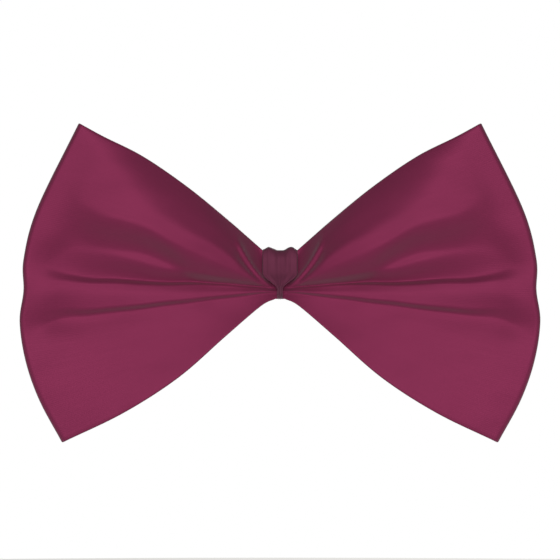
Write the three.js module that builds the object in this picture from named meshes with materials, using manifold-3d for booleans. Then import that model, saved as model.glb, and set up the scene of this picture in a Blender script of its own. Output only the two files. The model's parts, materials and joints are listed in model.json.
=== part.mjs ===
// Clip-on satin bow tie.
// Millimetres, +Z up. The wearer's front is -Y, and the shirt collar is at +Y.
// The origin is on the rear face of the clip's saddle, at the height of the clip's middle.
import * as THREE from "three";
import { mergeVertices } from "three/addons/utils/BufferGeometryUtils.js";
import Module from "manifold-3d";

const wasm = await Module();
wasm.setup();

// ---------- driving dimensions ----------
// Outline of one wing, seen from the front, as [x, z] from the middle of the tie
const TOP_CORNER = [51.5, 38.5];
const TOP_BOW_OUT = [34, 32];
const TOP_BOW_IN = [14, 15];
const TOP_PINCH = [4.5, 5.8];
const LOW_CORNER = [55.5, -42.7];
const LOW_BOW_OUT = [31, -33.5];
const LOW_BOW_IN = [16, -16.5];
const LOW_PINCH = [1.35, -5.4];
const END_FOLD = [
  LOW_CORNER, [62, -31], [66.5, -12], [65.5, -4], [66, 2.5], [62, 17], TOP_CORNER,
];
const PINCH_SKEW = 1.8; // the lower half of the cloth is gathered into the foot of the pinch

// Depth of the folded loop
const PINCH_Y = -9.9;
const WING_Y = -12.6;
const HALF_DEPTH_PINCH = 1.3;
const HALF_DEPTH_MIDDLE = 6.5;
const HALF_DEPTH_END = 4.5;
const END_ROUNDING = 16;
const WING_LENGTH = 62;
const EDGE_CURL = 2.6;

// Layers
const SATIN = 0.7;
const GAP = 0.3;
const INTERLINING = 0.5;
const INTERLINING_START = 0.2; // the stiffener stops this share of the wing short of the pinch
const LAP = 3.4; // how far the ends of the strip pass the middle at the back
const WAIST = 1.1; // half width of the narrowed middle under the gathering thread
const WAIST_SCALE = 0.84;

// Pleats run from the pinch to the end fold. v is the share of the height, from the lower edge.
// rise is towards the front at the end fold, and gather is the same at the pinch.
const PLEATS = [
  { v: 0.2, spread: 0.1, rise: 0, gather: 0.5 },
  { v: 0.395, spread: 0.025, rise: -1.5, gather: -0.8 },
  { v: 0.455, spread: 0.022, rise: 0.9, gather: 0.8 },
  { v: 0.515, spread: 0.025, rise: -1.3, gather: -0.8 },
  { v: 0.66, spread: 0.05, rise: 0, gather: -0.8 },
  { v: 0.77, spread: 0.05, rise: 0, gather: 0.8 },
];
const ROWS = [
  0, 0.07, 0.14, 0.2, 0.27, 0.33, 0.365, 0.395, 0.425, 0.455, 0.485, 0.515, 0.545,
  0.58, 0.62, 0.66, 0.71, 0.77, 0.83, 0.89, 0.95, 1,
];
const WING_COLUMNS = 24;

// Knot band
const BAND = 0.5;
const BAND_FRONT = -12.8;
const BAND_BACK = -5.75;
const BAND_TOP = 6.6;
const BAND_LOW = -6.2;
const BAND_CORNER = 1.9;
const BAND_HALF_TOP = 4.3;
const BAND_HALF_LOW = 1.05;
const TAIL_BACK = -4.95;
const TAIL_HALF = 4.6;
const TAIL_END = -4.2;
const BAND_DIP = 0.5;

// Thread
const THREAD = 0.5;
const GATHER_TURNS = 2;
const GATHER_PITCH = 0.8;

// Clip
const SHEET = 0.8;
const PLATE_REAR = -2.7;
const PLATE_HALF_LENGTH = 24;
const PLATE_HALF_HEIGHT = 4.8;
const PLATE_CENTRE_HALF = 5.7;
const HINGE_X = 11;
const HINGE_Y = -0.7;
const LUG_RADIUS = 1.9;
const EAR_INNER = 2.9;
const PIN_R = 0.6;
const PIN_HOLE_R = 0.68;
const PIN_HEAD_R = 1.15;
const PIN_HEAD = 0.5;
const JAW_HALF_HEIGHT = 3.7;
const MOUTH_HALF_HEIGHT = 4.6;
const MOUTH_X = 22.6;
const TEETH = 5;
const TOOTH = 0.8;
const SADDLE_HALF_WIDTH = 3;
const SADDLE_FACE_HALF = 2.6;
const SADDLE_STEP = 1.6;
const RIVET_Z = 4.45;
const RIVET_R = 0.6;
const RIVET_HOLE_R = 0.68;
const RIVET_HEAD_R = 1.1;
const RIVET_HEAD = 0.5;
const STITCH_X = 3.9;
const STITCH_Z = 2.2;
const STITCH_HOLE_R = 0.6;
const WIRE = 0.5;
const COIL_R = 1.25;
const COIL_TURNS = 4;
const COIL_PITCH = 1;
const COIL_STEPS = 16;

// ---------- finishes ----------
const satin = { color: 0x8a3355, roughness: 0.45, metalness: 0 };
const stiffener = { color: 0xe8e2d8, roughness: 0.9, metalness: 0 };
const thread = { color: 0x7a2c4b, roughness: 0.7, metalness: 0 };
const nickel = { color: 0xc9c9c6, roughness: 0.28, metalness: 1 };
const springSteel = { color: 0x9fa2a6, roughness: 0.35, metalness: 1 };

// ---------- helpers ----------
const tie = new THREE.Group();
tie.name = "clip_on_bow_tie";

function add(name, geometry, look) {
  const mesh = new THREE.Mesh(geometry, new THREE.MeshStandardMaterial(look));
  mesh.name = name;
  tie.add(mesh);
}

function welded(geometry) {
  geometry.deleteAttribute("normal");
  geometry.deleteAttribute("uv");
  return mergeVertices(geometry, 1e-5);
}

function solid(geometry) {
  const g = welded(geometry);
  return new wasm.Manifold(new wasm.Mesh({
    numProp: 3,
    vertProperties: new Float32Array(g.attributes.position.array),
    triVerts: new Uint32Array(g.index.array),
  }));
}

function geometryOf(body) {
  const mesh = body.getMesh();
  const g = new THREE.BufferGeometry();
  g.setAttribute("position", new THREE.BufferAttribute(new Float32Array(mesh.vertProperties), 3));
  g.setIndex(new THREE.BufferAttribute(new Uint32Array(mesh.triVerts), 1));
  g.computeVertexNormals();
  return g;
}

function mix(a, b, t) {
  return a + (b - a) * t;
}

function smooth(from, to, x) {
  return THREE.MathUtils.smoothstep(x, from, to);
}

function block(x0, x1, y0, y1, z0, z1) {
  const g = new THREE.BoxGeometry(x1 - x0, y1 - y0, z1 - z0);
  g.translate((x0 + x1) / 2, (y0 + y1) / 2, (z0 + z1) / 2);
  return g;
}

function rod(radius, from, to, sides = 20) {
  const length = from.distanceTo(to);
  const g = new THREE.CylinderGeometry(radius, radius, length, sides);
  const turn = new THREE.Quaternion().setFromUnitVectors(
    new THREE.Vector3(0, 1, 0),
    to.clone().sub(from).normalize(),
  );
  g.applyQuaternion(turn);
  g.translate((from.x + to.x) / 2, (from.y + to.y) / 2, (from.z + to.z) / 2);
  return g;
}

function point(x, y, z) {
  return new THREE.Vector3(x, y, z);
}

function wireAlong(curve, diameter, steps, sides = 8) {
  const ring = new THREE.Shape();
  for (let i = 0; i < sides; i += 1) {
    const a = (i / sides) * 2 * Math.PI;
    const x = Math.cos(a) * diameter / 2;
    const y = Math.sin(a) * diameter / 2;
    if (i === 0) {
      ring.moveTo(x, y);
    } else {
      ring.lineTo(x, y);
    }
  }
  ring.closePath();
  return new THREE.ExtrudeGeometry(ring, { steps, extrudePath: curve, bevelEnabled: false });
}

// A closed strip of even thickness that follows a flat path, as a shape
function stripShape(path, thickness) {
  const left = [];
  const right = [];
  path.forEach((p, i) => {
    const before = path[Math.max(i - 1, 0)];
    const after = path[Math.min(i + 1, path.length - 1)];
    const way = after.clone().sub(before).normalize();
    const side = new THREE.Vector2(-way.y, way.x).multiplyScalar(thickness / 2);
    left.push(p.clone().add(side));
    right.push(p.clone().sub(side));
  });
  return new THREE.Shape([...left, ...right.reverse()]);
}

// A shape drawn in X and Y, given height along Z
function upright(shape, z0, z1) {
  const g = new THREE.ExtrudeGeometry(shape, { depth: z1 - z0, bevelEnabled: false, curveSegments: 12 });
  g.translate(0, 0, z0);
  return g;
}

// A shape drawn in Y and Z, given width along X
function sideways(shape, x0, x1) {
  const g = new THREE.ExtrudeGeometry(shape, { depth: x1 - x0, bevelEnabled: false, curveSegments: 12 });
  const axes = new THREE.Matrix4().makeBasis(point(0, 1, 0), point(0, 0, 1), point(1, 0, 0));
  g.applyMatrix4(axes);
  g.translate(x0, 0, 0);
  return g;
}

// A shape drawn in X and Z, given depth along Y
function facing(shape, y0, y1) {
  const g = new THREE.ExtrudeGeometry(shape, { depth: y1 - y0, bevelEnabled: false, curveSegments: 12 });
  const axes = new THREE.Matrix4().makeBasis(point(1, 0, 0), point(0, 0, 1), point(0, -1, 0));
  g.applyMatrix4(axes);
  g.translate(0, y1, 0);
  return g;
}

// ---------- bow: one strip of satin folded into a loop and gathered at the middle ----------
const upper = new THREE.CubicBezierCurve(
  new THREE.Vector2(...TOP_PINCH), new THREE.Vector2(...TOP_BOW_IN),
  new THREE.Vector2(...TOP_BOW_OUT), new THREE.Vector2(...TOP_CORNER),
);
const lower = new THREE.CubicBezierCurve(
  new THREE.Vector2(...LOW_PINCH), new THREE.Vector2(...LOW_BOW_IN),
  new THREE.Vector2(...LOW_BOW_OUT), new THREE.Vector2(...LOW_CORNER),
);
const endFold = new THREE.SplineCurve(END_FOLD.map((p) => new THREE.Vector2(...p)));

function pinchPoint(v) {
  const t = Math.pow(v, PINCH_SKEW);
  return new THREE.Vector2(mix(LOW_PINCH[0], TOP_PINCH[0], t), mix(LOW_PINCH[1], TOP_PINCH[1], t));
}

// The cloth's place in the front view, r from the pinch to the end fold and v from the lower edge
function facePoint(r, v) {
  const top = upper.getPoint(r);
  const low = lower.getPoint(r);
  const near = pinchPoint(v);
  const far = endFold.getPointAt(v);
  const at = (axis, corner) => mix(low[axis], top[axis], v) + mix(near[axis], far[axis], r)
    - mix(mix(LOW_PINCH[corner], TOP_PINCH[corner], v), mix(LOW_CORNER[corner], TOP_CORNER[corner], v), r);
  return [at("x", 0), at("y", 1)];
}

function pleatRise(r, v, front) {
  let rise = 0;
  for (const pleat of PLEATS) {
    const shape = Math.exp(-Math.pow((v - pleat.v) / pleat.spread, 2) / 2);
    const gathered = pleat.gather * (1 - smooth(0.1, 0.6, r));
    const open = front ? pleat.rise * smooth(0, 0.35, r) * (1 - Math.pow(r, 8)) : 0;
    rise += shape * (gathered + open);
  }
  if (front) {
    rise -= EDGE_CURL * smooth(0.78, 1, v) * Math.sin(Math.PI * r);
  }
  return rise;
}

function halfDepth(r) {
  const out = mix(HALF_DEPTH_PINCH, HALF_DEPTH_MIDDLE, smooth(0, 0.5, r));
  const full = mix(out, HALF_DEPTH_END, smooth(0.5, 1, r));
  return full * Math.sqrt(Math.max(0, 1 - Math.pow(r, END_ROUNDING)));
}

// One wing's loop: turn runs from 0 at the front of the pinch, round the end fold, to PI at the back
function loopPoint(turn) {
  const r = Math.sin(turn);
  return [r * WING_LENGTH, -Math.sign(Math.cos(turn)) * halfDepth(r)];
}

function wingPoint(side, turn, v, inset, lapped) {
  const step = 0.01;
  const [a0, b0] = loopPoint(Math.max(turn - step, 0));
  const [a1, b1] = loopPoint(Math.min(turn + step, Math.PI));
  const length = Math.hypot(a1 - a0, b1 - b0);
  const [a, b] = loopPoint(turn);
  const along = a - ((b1 - b0) / length) * inset;
  const depth = b + ((a1 - a0) / length) * inset;
  const r = THREE.MathUtils.clamp(along / WING_LENGTH, 0, 1);
  const front = turn < Math.PI / 2;
  const [x, z] = facePoint(r, v);
  const lap = lapped && !front ? (SATIN + GAP) * (1 - smooth(0, 0.25, r)) : 0;
  const middle = mix(PINCH_Y, WING_Y, smooth(0, 0.45, r));
  return point(side * x, middle + depth + lap - pleatRise(r, v, front), z);
}

function waistPoint(x, layer, v, inset) {
  const middle = (TOP_PINCH[1] + LOW_PINCH[1]) / 2;
  const z = middle + (pinchPoint(v).y - middle) * WAIST_SCALE;
  const outer = layer === "front" ? -HALF_DEPTH_PINCH : HALF_DEPTH_PINCH + (layer === "lap" ? SATIN + GAP : 0);
  const inward = layer === "front" ? inset : -inset;
  return point(x, PINCH_Y + outer + inward, z);
}

// Bends a flat board into place: columns along the strip, rows up it, and its thickness
function bent(columns, rows, place) {
  const g = new THREE.BoxGeometry(1, 1, 1, columns.length - 1, rows.length - 1, 1);
  const p = g.attributes.position;
  for (let i = 0; i < p.count; i += 1) {
    const column = columns[Math.round((p.getX(i) + 0.5) * (columns.length - 1))];
    const v = rows[Math.round((p.getY(i) + 0.5) * (rows.length - 1))];
    const outer = p.getZ(i) > 0;
    const at = place(column, v, outer);
    p.setXYZ(i, at.x, at.y, at.z);
  }
  const body = welded(g);
  body.computeVertexNormals();
  return body;
}

function wingColumns(side, from, to, lapped, count) {
  const list = [];
  for (let i = 0; i <= count; i += 1) {
    list.push({ side, turn: mix(from, to, i / count), lapped });
  }
  return list;
}

const stripColumns = [
  { x: LAP, layer: "back" },
  { x: WAIST, layer: "back" },
  { x: -WAIST, layer: "back" },
  ...wingColumns(-1, Math.PI, 0, false, WING_COLUMNS),
  { x: -WAIST, layer: "front" },
  { x: WAIST, layer: "front" },
  ...wingColumns(1, 0, Math.PI, true, WING_COLUMNS),
  { x: WAIST, layer: "lap" },
  { x: -WAIST, layer: "lap" },
  { x: -LAP, layer: "lap" },
];

add("bow_satin", bent(stripColumns, ROWS, (column, v, outer) => {
  const inset = outer ? 0 : SATIN;
  if (column.layer) {
    return waistPoint(column.x, column.layer, v, inset);
  }
  return wingPoint(column.side, column.turn, v, inset, column.lapped);
}), satin);

// Stiffeners lie inside the satin, row for row, and stop short of the gathers and the hems
const STIFF_ROWS = ROWS.slice(1, -1);
for (const [name, side] of [["left", -1], ["right", 1]]) {
  const run = side < 0
    ? wingColumns(side, Math.PI, 0, false, WING_COLUMNS)
    : wingColumns(side, 0, Math.PI, true, WING_COLUMNS);
  const columns = run.filter((column) => Math.sin(column.turn) > INTERLINING_START);
  add(`interlining_${name}`, bent(columns, STIFF_ROWS, (column, v, outer) => {
    const inset = SATIN + GAP + (outer ? 0 : INTERLINING);
    return wingPoint(column.side, column.turn, v, inset, column.lapped);
  }), stiffener);
}

// ---------- gathering thread, wound round the waist of the pinch ----------
class Winding extends THREE.Curve {
  getPoint(t, target = new THREE.Vector3()) {
    const a = t * GATHER_TURNS * 2 * Math.PI;
    const middleZ = (TOP_PINCH[1] + LOW_PINCH[1]) / 2;
    const halfZ = ((TOP_PINCH[1] - LOW_PINCH[1]) / 2) * WAIST_SCALE + GAP + THREAD / 2;
    const frontY = PINCH_Y - HALF_DEPTH_PINCH - GAP - THREAD / 2;
    const backY = PINCH_Y + HALF_DEPTH_PINCH + SATIN + 2 * GAP + THREAD / 2;
    const power = 0.2; // well below 1, so that the oval is squared to the bundle
    const squared = (c) => Math.sign(c) * Math.pow(Math.abs(c), power);
    return target.set(
      (t - 0.5) * GATHER_TURNS * GATHER_PITCH,
      mix(frontY, backY, (squared(Math.cos(a)) + 1) / 2),
      middleZ + halfZ * squared(Math.sin(a)),
    );
  }
}
const winding = new Winding();
winding.arcLengthDivisions = 2000;
add("gathering_thread", geometryOf(solid(wireAlong(winding, THREAD, 96, 6))), thread);

// ---------- knot band: a strip wound once round the pinch, with its tail lapped down the back ----------
function bandPath() {
  const inner = BAND / 2;
  const f = BAND_FRONT + inner;
  const b = BAND_BACK - inner;
  const t = BAND_TOP - inner;
  const l = BAND_LOW + inner;
  const tail = TAIL_BACK - inner;
  const c = BAND_CORNER;
  const path = new THREE.Path();
  path.moveTo(b, BAND_TOP - BAND - 1.2);
  path.lineTo(b, l + c);
  path.quadraticCurveTo(b, l, b - c, l);
  path.lineTo(f + c, l);
  path.quadraticCurveTo(f, l, f, l + c);
  path.lineTo(f, t - c);
  path.quadraticCurveTo(f, t, f + c, t);
  path.lineTo(tail - c, t);
  path.quadraticCurveTo(tail, t, tail, t - c);
  path.lineTo(tail, TAIL_END);
  const points = path.getPoints(8);
  return points.filter((p, i) => i === 0 || p.distanceTo(points[i - 1]) > 1e-3);
}
const bandBody = solid(sideways(stripShape(bandPath(), BAND), -TAIL_HALF, TAIL_HALF));
// The front is gathered to a wedge, with two soft humps along its top
const wedge = new THREE.Shape();
wedge.moveTo(-BAND_HALF_LOW, BAND_LOW - 1);
wedge.lineTo(BAND_HALF_LOW, BAND_LOW - 1);
wedge.lineTo(BAND_HALF_LOW, BAND_LOW + BAND + 0.2);
wedge.lineTo(BAND_HALF_TOP, BAND_TOP - BAND);
wedge.lineTo(BAND_HALF_TOP, BAND_TOP + 1);
wedge.lineTo(-BAND_HALF_TOP, BAND_TOP + 1);
wedge.lineTo(-BAND_HALF_TOP, BAND_TOP - BAND);
wedge.lineTo(-BAND_HALF_LOW, BAND_LOW + BAND + 0.2);
wedge.closePath();
const wedgeBody = solid(facing(wedge, BAND_FRONT - 1, BAND_BACK + 0.15));
const tailBody = solid(block(-TAIL_HALF, TAIL_HALF, BAND_BACK + 0.15, TAIL_BACK + 1, TAIL_END - 1, BAND_TOP + 1));
const keepBody = wedgeBody.add(tailBody);
add("knot_band", geometryOf(bandBody.intersect(keepBody)), satin);

// ---------- stitches ----------
function polyWire(points, diameter, steps) {
  const curve = new THREE.CatmullRomCurve3(points, false, "centripetal");
  return geometryOf(solid(wireAlong(curve, diameter, steps, 8)));
}
const seamY = TAIL_BACK + GAP + THREAD / 2;
const seam = [];
for (let i = 0; i <= 8; i += 1) {
  seam.push(point(mix(-3.2, 3.2, i / 8), seamY, TAIL_END + (i % 2 === 0 ? 1.5 : 2.3)));
}
add("band_seam_thread", polyWire(seam, THREAD, 48), thread);

for (const [name, side] of [["left", -1], ["right", 1]]) {
  const x = side * STITCH_X;
  const rear = PLATE_REAR + GAP + THREAD / 2;
  const front = TAIL_BACK + GAP;
  const bend = 0.35;
  add(`plate_stitch_${name}`, polyWire([
    point(x, front, STITCH_Z),
    point(x, rear - bend * 2, STITCH_Z),
    point(x, rear - bend / 3, STITCH_Z - bend / 3),
    point(x, rear, STITCH_Z - bend * 2),
    point(x, rear, 0),
    point(x, rear, bend * 2 - STITCH_Z),
    point(x, rear - bend / 3, bend / 3 - STITCH_Z),
    point(x, rear - bend * 2, -STITCH_Z),
    point(x, front, -STITCH_Z),
  ], THREAD, 40), thread);
}

// ---------- clip plate, with two pairs of hinge lugs ----------
const plateFront = PLATE_REAR - SHEET;
const outline = new THREE.Shape();
const corner = 1.5;
const swell = 6;
outline.moveTo(-PLATE_HALF_LENGTH + corner, -PLATE_HALF_HEIGHT);
outline.lineTo(-swell, -PLATE_HALF_HEIGHT);
outline.lineTo(-SADDLE_HALF_WIDTH - 1, -PLATE_CENTRE_HALF);
outline.lineTo(SADDLE_HALF_WIDTH + 1, -PLATE_CENTRE_HALF);
outline.lineTo(swell, -PLATE_HALF_HEIGHT);
outline.lineTo(PLATE_HALF_LENGTH - corner, -PLATE_HALF_HEIGHT);
outline.quadraticCurveTo(PLATE_HALF_LENGTH, -PLATE_HALF_HEIGHT, PLATE_HALF_LENGTH, corner - PLATE_HALF_HEIGHT);
outline.lineTo(PLATE_HALF_LENGTH, PLATE_HALF_HEIGHT - corner);
outline.quadraticCurveTo(PLATE_HALF_LENGTH, PLATE_HALF_HEIGHT, PLATE_HALF_LENGTH - corner, PLATE_HALF_HEIGHT);
outline.lineTo(swell, PLATE_HALF_HEIGHT);
outline.lineTo(SADDLE_HALF_WIDTH + 1, PLATE_CENTRE_HALF);
outline.lineTo(-SADDLE_HALF_WIDTH - 1, PLATE_CENTRE_HALF);
outline.lineTo(-swell, PLATE_HALF_HEIGHT);
outline.lineTo(corner - PLATE_HALF_LENGTH, PLATE_HALF_HEIGHT);
outline.quadraticCurveTo(-PLATE_HALF_LENGTH, PLATE_HALF_HEIGHT, -PLATE_HALF_LENGTH, PLATE_HALF_HEIGHT - corner);
outline.lineTo(-PLATE_HALF_LENGTH, corner - PLATE_HALF_HEIGHT);
outline.quadraticCurveTo(-PLATE_HALF_LENGTH, -PLATE_HALF_HEIGHT, corner - PLATE_HALF_LENGTH, -PLATE_HALF_HEIGHT);
let plate = solid(facing(outline, plateFront, PLATE_REAR));

// A lug or an ear: a tongue with a rounded end about the hinge, drawn in X and Y
function tongue(x, footY, radius) {
  const shape = new THREE.Shape();
  shape.moveTo(x - radius, footY);
  shape.lineTo(x + radius, footY);
  shape.lineTo(x + radius, HINGE_Y);
  const towards = footY < HINGE_Y ? 1 : -1;
  for (let i = 1; i <= 10; i += 1) {
    const a = (i / 10) * Math.PI;
    shape.lineTo(x + radius * Math.cos(a), HINGE_Y + towards * radius * Math.sin(a));
  }
  shape.closePath();
  return shape;
}
for (const side of [-1, 1]) {
  const x = side * HINGE_X;
  for (const end of [-1, 1]) {
    const z0 = end > 0 ? PLATE_HALF_HEIGHT - SHEET : -PLATE_HALF_HEIGHT;
    plate = plate.add(solid(upright(tongue(x, plateFront + 0.2, LUG_RADIUS), z0, z0 + SHEET)));
    plate = plate.subtract(solid(rod(STITCH_HOLE_R, point(side * STITCH_X, plateFront - 1, end * STITCH_Z),
      point(side * STITCH_X, PLATE_REAR + 1, end * STITCH_Z))));
  }
  plate = plate.subtract(solid(rod(PIN_HOLE_R, point(x, HINGE_Y, -10), point(x, HINGE_Y, 10))));
}
for (const end of [-1, 1]) {
  plate = plate.subtract(solid(rod(RIVET_HOLE_R, point(0, plateFront - 1, end * RIVET_Z),
    point(0, PLATE_REAR + 1, end * RIVET_Z))));
}
add("clip_plate", geometryOf(plate), nickel);

// ---------- saddle: a raised strap riveted over the middle of the plate ----------
const flange = -SADDLE_STEP - SHEET / 2;
const crown = -SHEET / 2;
const saddlePath = [
  new THREE.Vector2(flange, -PLATE_CENTRE_HALF),
  new THREE.Vector2(flange, -RIVET_Z + 1.15),
  new THREE.Vector2(crown, -SADDLE_FACE_HALF),
  new THREE.Vector2(crown, SADDLE_FACE_HALF),
  new THREE.Vector2(flange, RIVET_Z - 1.15),
  new THREE.Vector2(flange, PLATE_CENTRE_HALF),
];
let saddle = solid(sideways(stripShape(saddlePath, SHEET), -SADDLE_HALF_WIDTH, SADDLE_HALF_WIDTH));
for (const end of [-1, 1]) {
  saddle = saddle.subtract(solid(rod(RIVET_HOLE_R, point(0, -SADDLE_STEP - 2, end * RIVET_Z),
    point(0, 1, end * RIVET_Z))));
}
add("clip_saddle", geometryOf(saddle), nickel);

for (const [name, end] of [["top", 1], ["bottom", -1]]) {
  const z = end * RIVET_Z;
  const headFront = plateFront - GAP;
  const headRear = -SADDLE_STEP + GAP;
  const shank = solid(rod(RIVET_R, point(0, headFront - 0.1, z), point(0, headRear + 0.1, z)));
  const front = solid(rod(RIVET_HEAD_R, point(0, headFront - RIVET_HEAD, z), point(0, headFront, z)));
  const rear = solid(rod(RIVET_HEAD_R, point(0, headRear, z), point(0, headRear + RIVET_HEAD, z)));
  add(`saddle_rivet_${name}`, geometryOf(shank.add(front).add(rear)), nickel);
}

// ---------- jaws: sprung levers with a toothed mouth outside and a thumb tab inside ----------
function jaw(side) {
  const plan = [
    new THREE.Vector2(side * 5.5, 4.9),
    new THREE.Vector2(side * 6.1, 4.5),
    new THREE.Vector2(side * 8.6, 2.3),
    new THREE.Vector2(side * 9.8, 1.75),
    new THREE.Vector2(side * 12.6, 1.75),
    new THREE.Vector2(side * 14.4, 1.2),
    new THREE.Vector2(side * 20.4, -0.9),
    new THREE.Vector2(side * 21.8, -0.8),
    new THREE.Vector2(side * MOUTH_X, -1.2),
  ];
  const shape = stripShape(side > 0 ? plan.slice().reverse() : plan, SHEET);
  let body = solid(upright(shape, -MOUTH_HALF_HEIGHT, MOUTH_HALF_HEIGHT));
  // The sheet is narrower from the thumb tab to just past the lugs, then swells to the mouth
  const face = new THREE.Shape();
  const tab = side * 5.3;
  face.moveTo(side * 2, -JAW_HALF_HEIGHT);
  face.lineTo(side * 14, -JAW_HALF_HEIGHT);
  face.lineTo(side * 17, -MOUTH_HALF_HEIGHT);
  face.lineTo(side * 26, -MOUTH_HALF_HEIGHT);
  face.lineTo(side * 26, MOUTH_HALF_HEIGHT);
  face.lineTo(side * 17, MOUTH_HALF_HEIGHT);
  face.lineTo(side * 14, JAW_HALF_HEIGHT);
  face.lineTo(side * 2, JAW_HALF_HEIGHT);
  face.closePath();
  body = body.intersect(solid(facing(face, -20, 20)));
  for (const end of [-1, 1]) {
    const z0 = end > 0 ? EAR_INNER : -JAW_HALF_HEIGHT;
    body = body.add(solid(upright(tongue(side * HINGE_X, 1.8, 1.6), z0, z0 + JAW_HALF_HEIGHT - EAR_INNER)));
    const nick = solid(rod(0.9, point(tab, -5, end * (JAW_HALF_HEIGHT + 0.2)), point(tab, 9, end * (JAW_HALF_HEIGHT + 0.2)), 12));
    body = body.subtract(nick);
  }
  body = body.subtract(solid(rod(PIN_HOLE_R, point(side * HINGE_X, HINGE_Y, -10), point(side * HINGE_X, HINGE_Y, 10))));
  // Teeth hang from the lip and stop just clear of the plate
  const pitch = (2 * MOUTH_HALF_HEIGHT) / TEETH;
  for (let i = 0; i < TEETH; i += 1) {
    const z = -MOUTH_HALF_HEIGHT + pitch * (i + 0.5);
    const tooth = new THREE.Shape();
    tooth.moveTo(-1.2, z - pitch * 0.42);
    tooth.lineTo(-1.2, z + pitch * 0.42);
    tooth.lineTo(PLATE_REAR + GAP, z);
    tooth.closePath();
    const x0 = side * MOUTH_X - TOOTH / 2;
    body = body.add(solid(sideways(tooth, x0, x0 + TOOTH)));
  }
  return geometryOf(body);
}
add("jaw_left", jaw(-1), nickel);
add("jaw_right", jaw(1), nickel);

// ---------- hinge pins ----------
for (const [name, side] of [["left", -1], ["right", 1]]) {
  const x = side * HINGE_X;
  const reach = PLATE_HALF_HEIGHT + GAP;
  let pin = solid(rod(PIN_R, point(x, HINGE_Y, -reach - 0.1), point(x, HINGE_Y, reach + 0.1)));
  for (const end of [-1, 1]) {
    pin = pin.add(solid(rod(PIN_HEAD_R, point(x, HINGE_Y, end * reach), point(x, HINGE_Y, end * (reach + PIN_HEAD)))));
  }
  add(`hinge_pin_${name}`, geometryOf(pin), nickel);
}

// ---------- torsion springs: a coil round each pin, one leg on the plate and one under the tab ----------
function springPoints() {
  const points = [[5.6, -COIL_R - 0.05], [3.2, -COIL_R], [1, -COIL_R]];
  const low = -(COIL_TURNS * COIL_PITCH) / 2;
  const path = points.map(([x, y]) => [x, y, low]);
  const steps = COIL_TURNS * COIL_STEPS;
  const total = COIL_TURNS * 2 * Math.PI + Math.PI / 4;
  for (let i = 0; i <= steps; i += 1) {
    const a = -Math.PI / 2 - (i / steps) * total;
    path.push([COIL_R * Math.cos(a), COIL_R * Math.sin(a), mix(low, -low, i / steps)]);
  }
  const [x, y, z] = path[path.length - 1];
  path.push([x - 0.8, y + 0.8, z]);
  path.push([x - 2, y + 2.15, z]);
  path.push([x - 3.1, y + 3.4, z]);
  return path;
}
function spring(side) {
  const path = springPoints().map(([x, y, z]) => point(side * (HINGE_X + x), HINGE_Y + y, z));
  const curve = new THREE.CatmullRomCurve3(path, false, "centripetal");
  curve.arcLengthDivisions = 2000;
  return geometryOf(solid(wireAlong(curve, WIRE, 96, 6)));
}
add("spring_left", spring(-1), springSteel);
add("spring_right", spring(1), springSteel);

export default tie;
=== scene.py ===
"""A ready-tied satin bow tie on a sprung collar clip.

The bow is one strip of satin folded into a loop, gathered at its middle and held by a wrapped band. The steel
clip sewn behind the knot has two jaws that grip a shirt collar. Everything is made in metres, in the frame of
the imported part: the wearer's front is -Y, the collar is at +Y and +Z is up. Small sizes are written in
millimetres and turned to metres where the mesh is made.
"""

import json
import math

import bmesh
import bpy
import numpy as np
from bpy.props import FloatProperty, FloatVectorProperty, IntProperty, PointerProperty
from bpy.types import Operator, Panel, PropertyGroup
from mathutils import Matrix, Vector, noise


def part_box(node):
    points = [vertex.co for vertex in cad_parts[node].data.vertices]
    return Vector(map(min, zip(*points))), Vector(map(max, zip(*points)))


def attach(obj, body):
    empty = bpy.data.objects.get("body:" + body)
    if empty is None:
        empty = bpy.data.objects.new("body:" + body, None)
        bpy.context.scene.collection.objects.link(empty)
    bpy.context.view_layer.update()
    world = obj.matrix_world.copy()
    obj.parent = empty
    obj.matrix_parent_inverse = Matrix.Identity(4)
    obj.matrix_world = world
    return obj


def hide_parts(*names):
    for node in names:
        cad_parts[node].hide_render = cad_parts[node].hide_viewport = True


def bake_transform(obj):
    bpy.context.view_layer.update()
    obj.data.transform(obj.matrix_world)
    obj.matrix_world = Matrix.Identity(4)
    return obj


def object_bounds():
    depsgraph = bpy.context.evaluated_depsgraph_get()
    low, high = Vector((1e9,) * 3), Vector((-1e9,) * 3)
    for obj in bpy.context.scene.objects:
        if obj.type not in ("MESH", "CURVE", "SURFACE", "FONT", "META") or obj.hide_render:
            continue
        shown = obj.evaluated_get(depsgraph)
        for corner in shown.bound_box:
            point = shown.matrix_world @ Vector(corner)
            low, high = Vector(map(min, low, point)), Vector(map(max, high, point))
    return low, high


bl_info = {
    "name": "Satin Bow Tie",
    "version": (1, 0, 0),
    "blender": (4, 5, 0),
    "location": "3D View > Sidebar > Bow Tie",
    "description": "Makes a ready-tied satin bow tie on its collar clip, piece by piece",
    "category": "Add Mesh",
}

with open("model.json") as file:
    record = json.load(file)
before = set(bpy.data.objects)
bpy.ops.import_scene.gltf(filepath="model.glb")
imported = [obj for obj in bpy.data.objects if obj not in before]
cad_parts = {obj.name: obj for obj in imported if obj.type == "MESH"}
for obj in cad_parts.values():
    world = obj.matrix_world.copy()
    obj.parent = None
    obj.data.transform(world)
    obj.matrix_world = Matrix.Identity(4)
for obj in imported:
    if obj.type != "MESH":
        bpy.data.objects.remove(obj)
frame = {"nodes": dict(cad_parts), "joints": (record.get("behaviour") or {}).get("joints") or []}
CAD_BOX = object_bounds()
MM = 0.001

BOW_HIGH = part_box("bow_satin")[1]


# ---------------------------------------------------------------- sizes and colours


def length_setting(name, description, default, least=0.0):
    """A length that a user can change, in metres."""
    return FloatProperty(name=name, description=description, default=default, min=least, unit="LENGTH")


def share_setting(name, description, default, most=1.0):
    """A plain factor that a user can change."""
    return FloatProperty(
        name=name, description=description, default=default, min=0.0, max=most, subtype="FACTOR"
    )


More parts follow.
